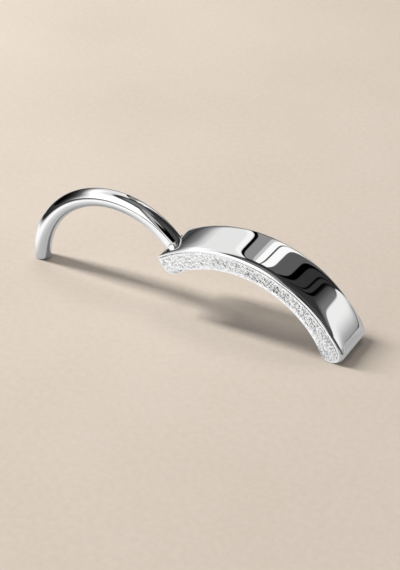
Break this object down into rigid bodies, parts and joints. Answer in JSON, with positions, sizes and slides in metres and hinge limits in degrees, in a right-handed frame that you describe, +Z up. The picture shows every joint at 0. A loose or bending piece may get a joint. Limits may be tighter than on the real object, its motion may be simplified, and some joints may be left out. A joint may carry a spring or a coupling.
{
  "type": "hinged belly button ring",
  "caption": "Hinged belly button ring lying open: a curved polished plate with frosted sides, and a round wire bar that swings under it on a hidden pin to close.",
  "frame": {"origin": "on the surface that the open ring lies on, under the middle of its length and width", "axes": "+X along the open ring from the bar to the plate, +Y along the hinge axis from one side of the plate to the other, +Z up"},
  "size_m": [0.0238, 0.0036, 0.0066],
  "materials": {
    "polished_plate": "mirror polish on the outer face, frosted side faces",
    "polished_wire": "mirror polish",
    "pin_steel": "plain ground steel"
  },
  "bodies": {
    "plate": {"front_plate": "polished_plate", "hinge_pin": "pin_steel"},
    "bar": {"curved_bar": "polished_wire"}
  },
  "joints": [
    {"name": "bar_hinge", "type": "hinge", "parent": "plate", "child": "bar", "pos_m": [-0.00028, 0, 0.00373], "axis": [0, -1, 0], "range_deg": [0, 146.5]}
  ]
}
